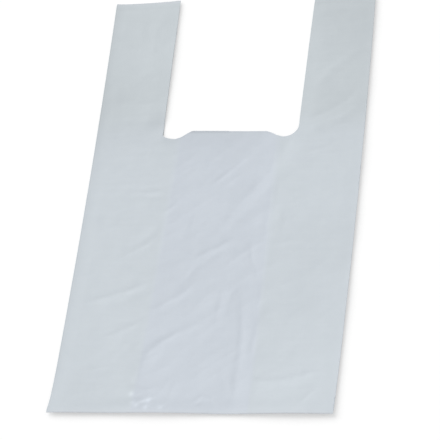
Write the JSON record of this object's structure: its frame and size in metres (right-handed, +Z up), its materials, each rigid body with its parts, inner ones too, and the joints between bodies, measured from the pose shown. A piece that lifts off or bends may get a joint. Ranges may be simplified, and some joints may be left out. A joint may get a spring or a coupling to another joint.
{
  "type": "plastic carrier bag",
  "caption": "Empty vest-style carrier bag of thin film, lying flat: side gussets, a welded bottom, and a mouth cut out between two strap handles with welded tops.",
  "frame": {"origin": "bottom centre of the bag's box: middle of its width and length, on the ground that it lies on", "axes": "+Y from the welded bottom edge to the handles, +Z up out of the front panel, +X to the right as seen from above"},
  "size_m": [0.3109, 0.53, 0.0052],
  "materials": {
    "film": "thin milky white polyethylene film, slightly glossy"
  },
  "bodies": {
    "root": {"carrier_bag": "film"}
  },
  "joints": []
}
